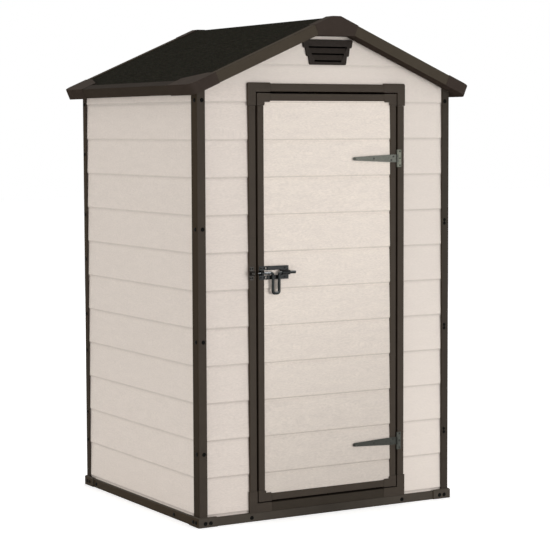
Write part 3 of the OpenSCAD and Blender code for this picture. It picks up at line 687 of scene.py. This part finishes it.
# %% [markdown]
# ## Screws in the posts
# Each post is screwed to both of its panels, at the heights where the ribs
# inside are. On the front and the back it takes four screws. The sides take
# four at the front posts and eight at the back ones, where the walls carry
# more. The post on the hinges' side carries the door's weight: on its front,
# the lower three places have a pair of smaller screws each. The places come
# from the boxes of the CAD nodes, so the screws stay on their faces when the
# shed changes.

# %% Place the post screws
post_x, post_y = reach("post_front_left")
# Heights of the rows, and of one screw of a pair above the other, in mm
FRONT_ROWS = (1628, 1141, 712, 282)
BACK_ROWS = (1623, 1414, 1159, 971, 737, 581, 316, 196)
PAIR = 14
# How far in from a post's outer edge they sit, on its front and on its side
IN_FRONT = 22
IN_SIDE = 18

post_places = []
pair_places = []
for side, x in (("left", -post_x), ("right", post_x)):
    inner = x - math.copysign(IN_FRONT, x)
    for z in FRONT_ROWS:
        post_places += [("back", (inner, post_y, z)),
                        (side, (x, -post_y + IN_SIDE, z))]
        if side == "right" and z != FRONT_ROWS[0]:
            pair_places += [("front", (inner, -post_y, z + PAIR / 2)),
                            ("front", (inner, -post_y, z - PAIR / 2))]
        else:
            post_places += [("front", (inner, -post_y, z))]
    post_places += [(side, (x, post_y - IN_SIDE, z)) for z in BACK_ROWS]
heads("post_screws", CAP, post_places, "shed", screw_resin)
heads("pair_screws", PAIR_CAP, pair_places, "shed", screw_resin)

# %% [markdown]
# ## Screws round the base
# The boots take two screws on each face, and the tray's skirt two more
# between them. All sit low, those on a boot's side a touch higher and nearer
# to the corner. The four corners mirror each other, so two signs, one for
# each direction, place them all.

# %% Place the base screws
boot_x, boot_y = reach("corner_boots")
tray_x, tray_y = reach("floor_tray")
# Height of the row, then how far in from a corner a boot's screws sit
LOW = 15.5
BOOT_IN = (29, 52)
# What the screws on a boot's side are nearer to the corner, and higher
SIDE_NEARER, SIDE_HIGHER = 5, 2
# The skirt's screws: to either side of the middle, and along its sides
SKIRT_X = 350
SKIRT_Y = (-306, 420)

base_places = []
for side, s in (("left", -1), ("right", 1)):
    for inward in BOOT_IN:
        along = boot_y - inward + SIDE_NEARER
        for face, t in (("front", -1), ("back", 1)):
            base_places += [
                (face, (s * (boot_x - inward), t * boot_y, LOW)),
                (side, (s * boot_x, t * along, LOW + SIDE_HIGHER))]
    base_places += [("front", (s * SKIRT_X, -tray_y, LOW)),
                    ("back", (s * SKIRT_X, tray_y, LOW))]
    base_places += [(side, (s * tray_x, y, LOW)) for y in SKIRT_Y]
heads("base_screws", CAP, base_places, "shed", screw_resin)

# %% [markdown]
# ## Screws in the hinges
# The strap of a tee hinge turns with the door, so its screws ride on the
# door: two along the blade and two in the broad root next to the pin. The
# fixed plate's three ride on the shed. Their heights and the face they sit on
# come from the hinge's own plate, so they follow a hinge that is moved.

# %% Place the hinge screws
BLADE_X = (122, 211)
# How far a root screw is from the pin, and how far above the plate's middle
ROOT = ((29, -7), (19, 8))
PLATE_IN, PLATE_ROWS = 12.5, (-28, 0, 28)
STRAP_THICK = 3

pin_x = middle("hinge_pins", 0)
strap_spots = [(x, 0) for x in BLADE_X] + [(pin_x - x, z) for x, z in ROOT]
strap_places, plate_places = [], []
for plate in ("hinge_plate_top", "hinge_plate_bottom"):
    z = middle(plate, 2)
    face = back_of(plate) - STRAP_THICK
    strap_places += [("front", (x, face, z + up)) for x, up in strap_spots]
    plate_places += [("front", (pin_x + PLATE_IN, face, z + up))
                     for up in PLATE_ROWS]
heads("strap_screws", STEEL, strap_places, "door", zinc_screw)
heads("plate_screws", STEEL, plate_places, "shed", zinc_screw)

# %% [markdown]
# ## Screws in the latch
# The latch plate is screwed to the door and its keeper to the jamb, in one
# row above the rod and one below. So one group rides on the door and the
# other on the shed, and they part when the door opens. The block at the right
# end of the plate is thicker, so its screws stand further out.

# %% Place the latch screws
FROM_ROD = 18
THIN, THICK = 2.5, 5
LATCH_X = ((-307, THIN), (-293, THIN), (-203, THICK))
KEEPER_X = (-353.5, -344.5)

rod_z = middle("latch_plate", 2)
latch_back = back_of("latch_plate")
latch_places, keeper_places = [], []
for z in (rod_z - FROM_ROD, rod_z + FROM_ROD):
    latch_places += [("front", (x, latch_back - out, z))
                     for x, out in LATCH_X]
    keeper_places += [("front", (x, latch_back - THIN, z)) for x in KEEPER_X]
heads("latch_screws", SMALL, latch_places, "door", screw_resin)
heads("keeper_screws", SMALL, keeper_places, "shed", screw_resin)

# %% [markdown]
# ## The studio floor
# A pale floor, as in a catalogue. To the camera, and in what metal mirrors,
# a weak emission lifts its paper to white, while the shed's soft shadow still
# darkens it. To the light that falls on the shed it stays plain paper: more
# lamps would whiten the floor as well, but they would bleach the shed too.

# %% Floor
FLOOR_HALF = 30
PAPER_GLOW = 0.55

floor_bm = bmesh.new()
bmesh.ops.create_grid(floor_bm, x_segments=1, y_segments=1, size=FLOOR_HALF)
floor_mesh = bpy.data.meshes.new("floor")
floor_bm.to_mesh(floor_mesh)
floor_bm.free()
floor = bpy.data.objects.new("floor", floor_mesh)
bpy.context.scene.collection.objects.link(floor)


def mirrored_or_seen(tree):
    """1 for the camera's own rays and those off metal or glass, else 0."""
    paths = add(tree, "ShaderNodeLightPath").outputs
    bright = add(tree, MATH, {"operation": "MAXIMUM"},
                 {0: paths["Is Camera Ray"], 1: paths["Is Glossy Ray"]})
    return add(tree, MATH, {"operation": "MAXIMUM"},
               {0: bright, 1: paths["Is Transmission Ray"]})


paper, tree = blank("studio_paper")
plain = add(tree, "ShaderNodeBsdfPrincipled",
            {"Base Color": linear("#f4f4f4"), "Roughness": 0.9})
glow = add(tree, "ShaderNodeEmission", {"Strength": PAPER_GLOW})
both = add(tree, "ShaderNodeAddShader", links={0: plain, 1: glow})
pick = add(tree, "ShaderNodeMixShader",
           links={0: mirrored_or_seen(tree), 1: plain, 2: both})
add(tree, "ShaderNodeOutputMaterial", links={"Surface": pick})
floor_mesh.materials.append(paper)
print("floor:", [round(v, 1) for v in floor.dimensions], "m")

# %% [markdown]
# ## The world
# The world is plain white. What it sends onto the shed is half as strong,
# since lamps give the rest and more would bleach the pale resin. What the
# camera sees of it is white itself. A dome of bright screens would light the
# shed as well, but a plain world lights every side alike.

# %% World
WHITE = (1, 1, 1, 1)
WORLD_LIGHT = 0.5

world = bpy.data.worlds.new("studio")
bpy.context.scene.world = world
world.use_nodes = True
tree = world.node_tree
tree.nodes.clear()
light = add(tree, "ShaderNodeBackground",
            {"Color": WHITE, "Strength": WORLD_LIGHT})
white = add(tree, "ShaderNodeBackground", {"Color": WHITE, "Strength": 1.0})
pick = add(tree, "ShaderNodeMixShader",
           links={0: mirrored_or_seen(tree), 1: light, 2: white})
add(tree, "ShaderNodeOutputWorld", links={"Surface": pick})
print("world:", world.name)

# %% [markdown]
# ## Lamps
# Three large area lamps stand far enough away that their light hardly
# changes over the shed's height. The key lights the front and the side lamp
# the left wall. Both stand low, near the height of the shed's middle, so that
# the roof's overhang throws next to no shade on the walls. The fill lifts the
# back and the roof. Area lamps are chosen because their shadows have soft
# edges, as under a studio's cloth screens.

# %% Lamps
MIDDLE = Vector((0, 0, 0.95))


def lamp(name, at, size, watts):
    """A square area lamp that looks at the middle of the shed."""
    data = bpy.data.lights.new(name, "AREA")
    data.size = size
    data.energy = watts
    made = bpy.data.objects.new(name, data)
    bpy.context.scene.collection.objects.link(made)
    made.location = at
    aim = MIDDLE - Vector(at)
    made.rotation_mode = "QUATERNION"
    made.rotation_quaternion = aim.to_track_quat("-Z", "Y")
    print(name, "at", round(aim.length, 1), "m,", watts, "W")


lamp("key", (2.6, -7.8, 1.25), size=2.4, watts=252)
lamp("side", (-8.0, -1.0, 1.25), size=2.4, watts=160)
lamp("fill", (4.0, 8.0, 4.0), size=4.0, watts=170)

# %% [markdown]
# ## Camera
# A long lens stands well back at eye height, to the left of the front, so
# that the front and the left side both show. A short lens close by would fill
# the view as well, but then upright lines would lean together.

# %% Camera
LENS, SENSOR = 121.58, 36
STAND = (-3.8337, -6.7150, 1.5224)
TURN = (85.4766, 0.2145, -30.1163)

camera_data = bpy.data.cameras.new("camera")
camera_data.lens = LENS
camera_data.sensor_width = SENSOR
camera = bpy.data.objects.new("camera", camera_data)
bpy.context.scene.collection.objects.link(camera)
camera.location = STAND
camera.rotation_euler = [math.radians(angle) for angle in TURN]
bpy.context.scene.camera = camera
bpy.context.scene.view_settings.view_transform = "Standard"
print("camera", round((camera.location - MIDDLE).length, 2), "m away")
